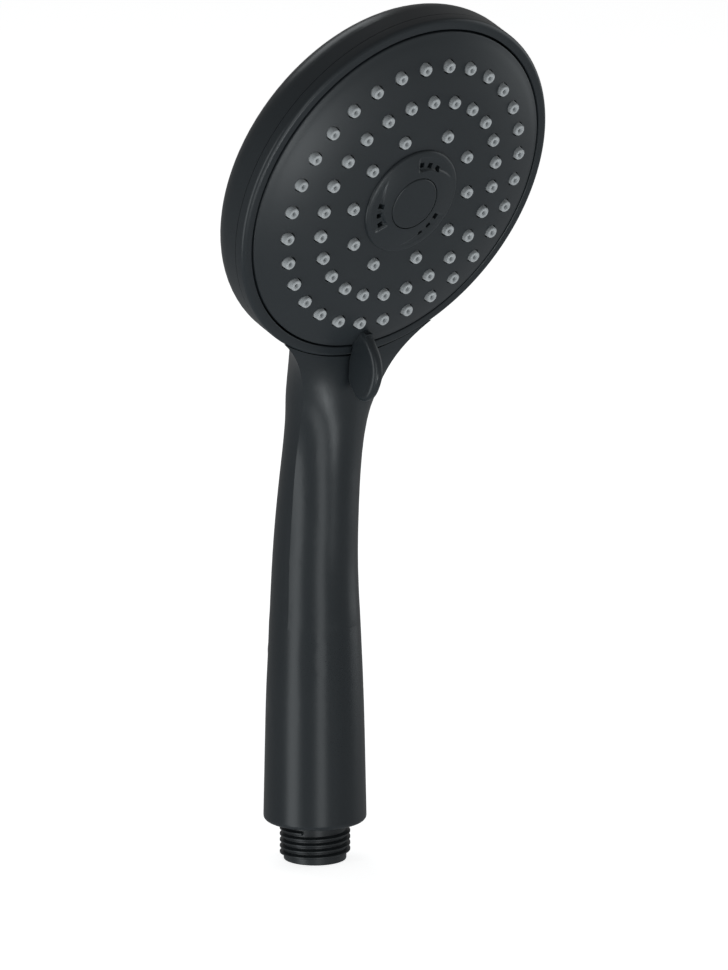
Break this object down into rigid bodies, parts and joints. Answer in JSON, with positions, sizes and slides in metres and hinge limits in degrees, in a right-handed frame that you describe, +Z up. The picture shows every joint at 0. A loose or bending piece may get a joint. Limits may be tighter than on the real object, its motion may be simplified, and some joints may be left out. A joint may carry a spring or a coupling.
{
  "type": "handheld shower head",
  "caption": "Round multi-spray shower handset with a tapered grip, a turning spray face set by a lever, rubber nozzles, a pulsing centre jet and a threaded hose inlet.",
  "frame": {"origin": "centre of the grip's flat lower end face, where the threaded inlet starts", "axes": "+Z up along the grip, -Y the side that the spray face looks to, tilted 20.6 degrees down, X across"},
  "size_m": [0.11, 0.0718, 0.2609],
  "materials": {
    "black_plastic": "satin black moulded plastic",
    "grey_silicone": "matt grey silicone",
    "black_rubber": "matt black nitrile rubber",
    "white_acetal": "natural acetal",
    "grey_plastic": "grey glass-filled plastic",
    "stainless": "stainless steel"
  },
  "bodies": {
    "handset": {"handle_shell": "black_plastic", "front_bezel": "black_plastic", "diverter_base": "grey_plastic", "water_tube": "white_acetal", "inlet_strainer": "white_acetal", "flow_regulator": "white_acetal", "port_seal": "black_rubber", "tube_o_rings": "black_rubber", "connector_o_ring": "black_rubber", "regulator_o_ring": "black_rubber", "centre_screw": "stainless", "screw_washer": "stainless", "base_screws": "stainless", "port_seal_spring": "stainless", "detent_spring": "stainless", "inlet_connector": "black_plastic"},
    "selector": {"face_plate": "black_plastic", "nozzle_mat": "grey_silicone", "selector_lever": "black_plastic", "massage_insert": "black_plastic", "centre_cap": "black_plastic", "selector_disc": "grey_plastic", "chamber_o_ring": "black_rubber", "face_screws": "stainless"},
    "turbine": {"massage_turbine": "white_acetal"},
    "detent": {"detent_plunger": "white_acetal"}
  },
  "joints": [
    {"name": "selector_turn", "type": "hinge", "parent": "handset", "child": "selector", "pos_m": [0, -0.04297, 0.19177], "axis": [0, -0.9361, -0.3518], "range_deg": [-35, 35]},
    {"name": "turbine_spin", "type": "hinge", "parent": "selector", "child": "turbine", "pos_m": [0, -0.04297, 0.19177], "axis": [0, -0.9361, -0.3518], "continuous": true},
    {"name": "detent_click", "type": "slide", "parent": "handset", "child": "detent", "axis": [0, -0.9361, -0.3518], "range_m": [0, 0.0005]}
  ]
}
